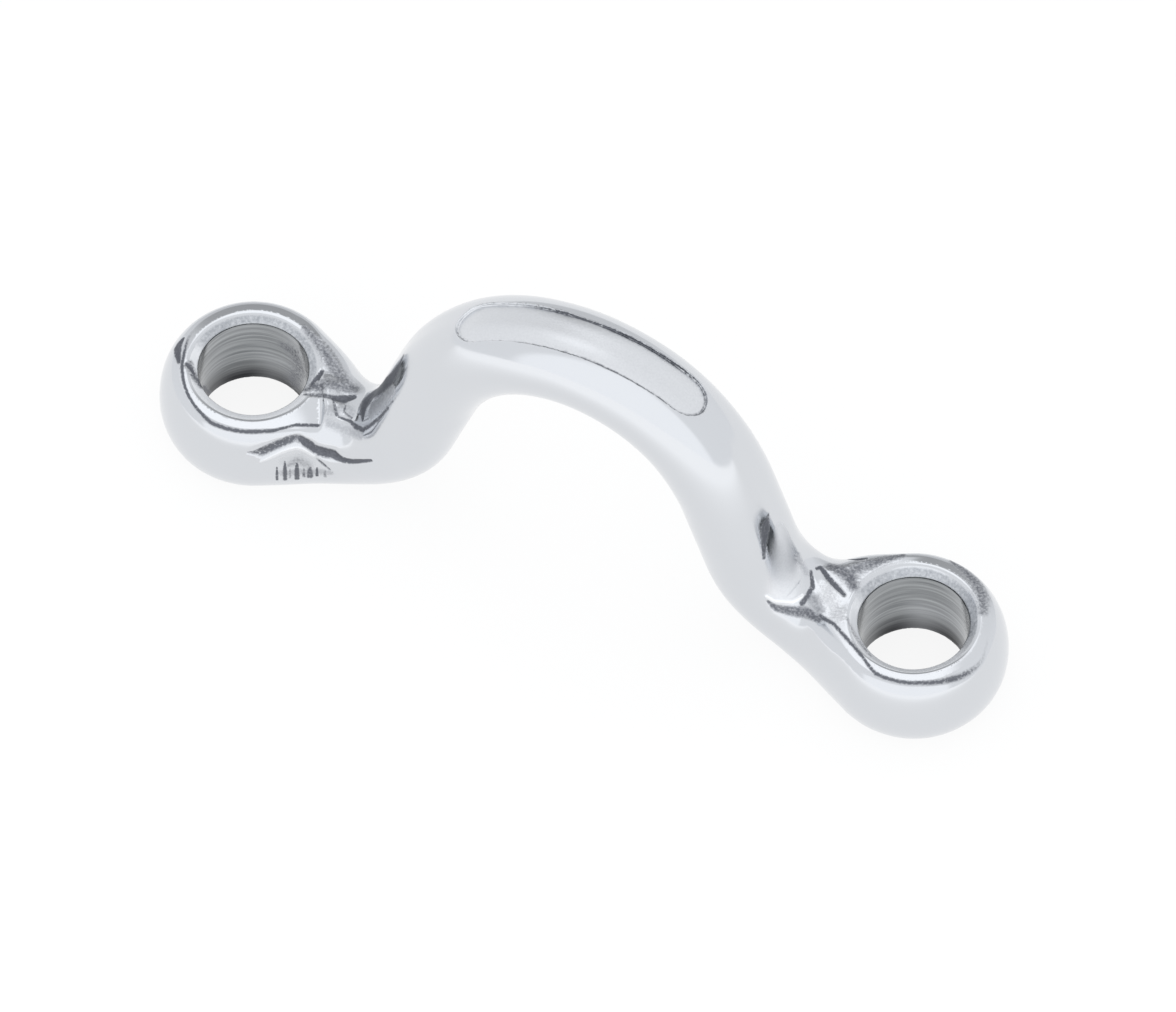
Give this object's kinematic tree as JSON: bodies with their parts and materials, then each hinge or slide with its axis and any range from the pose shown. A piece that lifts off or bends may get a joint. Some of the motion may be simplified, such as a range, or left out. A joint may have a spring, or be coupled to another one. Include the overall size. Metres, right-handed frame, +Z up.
{
  "type": "eye strap",
  "caption": "Forged eye strap: an arched round bar between flat screw eyes with countersunk holes, fixed to a deck or spar so that a line, block or shackle can be made fast under it.",
  "frame": {"origin": "on the deck plane, midway between the two screw holes", "axes": "+X from one screw hole to the other, +Z up out of the deck through the crest of the arch, Y across the bar"},
  "size_m": [0.0478, 0.0098, 0.0196],
  "materials": {
    "polished_stainless": "polished, with the bores and the countersinks machined and the hollows at the necks left as forged"
  },
  "bodies": {
    "root": {"forged_eye_strap": "polished_stainless"}
  },
  "joints": []
}
